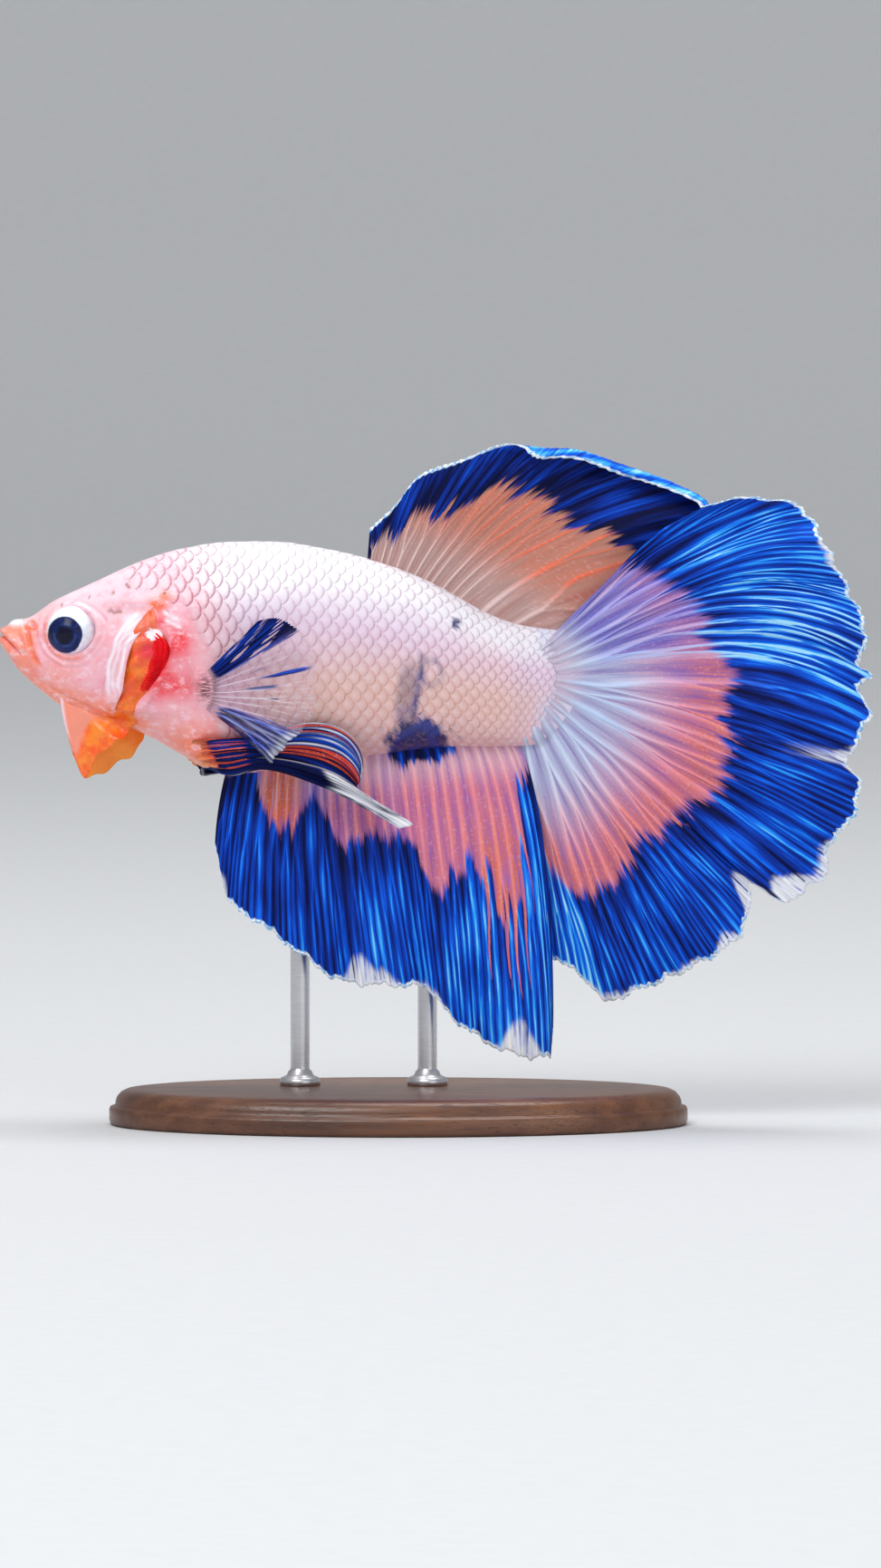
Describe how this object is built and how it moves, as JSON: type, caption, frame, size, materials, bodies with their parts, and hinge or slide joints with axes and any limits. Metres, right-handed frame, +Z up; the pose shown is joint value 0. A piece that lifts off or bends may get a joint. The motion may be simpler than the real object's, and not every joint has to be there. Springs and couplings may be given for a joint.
{
  "type": "fish",
  "caption": "Halfmoon betta fish at life size in a still swimming pose, with flared gills and spread fins, on a plain display stand with an oval base.",
  "frame": {"origin": "centre of the underside of the stand's base", "axes": "+Z up; +X from the snout towards the tail, so the fish faces -X and its left side faces -Y"},
  "size_m": [0.0718, 0.026, 0.0566],
  "materials": {
    "skin": "wet scaled skin, pale pink",
    "fin": "thin wet membrane, royal blue and salmon",
    "small_fin": "thin clear membrane with dark rays",
    "gill_membrane": "wet orange membrane",
    "gill": "wet red gill",
    "eye": "clear gloss over a dark iris",
    "stand_base": "satin dark wood",
    "stand_rod": "satin"
  },
  "bodies": {
    "root": {"head": "skin", "trunk": "skin", "tail_base": "skin", "gill_cover_left": "skin", "gill_cover_right": "skin", "gill_membrane_left": "gill_membrane", "gill_membrane_right": "gill_membrane", "gill_left": "gill", "gill_right": "gill", "eye_left": "eye", "eye_right": "eye", "dorsal_fin": "fin", "anal_fin": "fin", "caudal_fin": "fin", "pectoral_fin_left": "small_fin", "pectoral_fin_right": "small_fin", "pelvic_fin_left": "small_fin", "pelvic_fin_right": "small_fin", "stand_base": "stand_base", "stand_rod_front": "stand_rod", "stand_rod_rear": "stand_rod"}
  },
  "joints": []
}
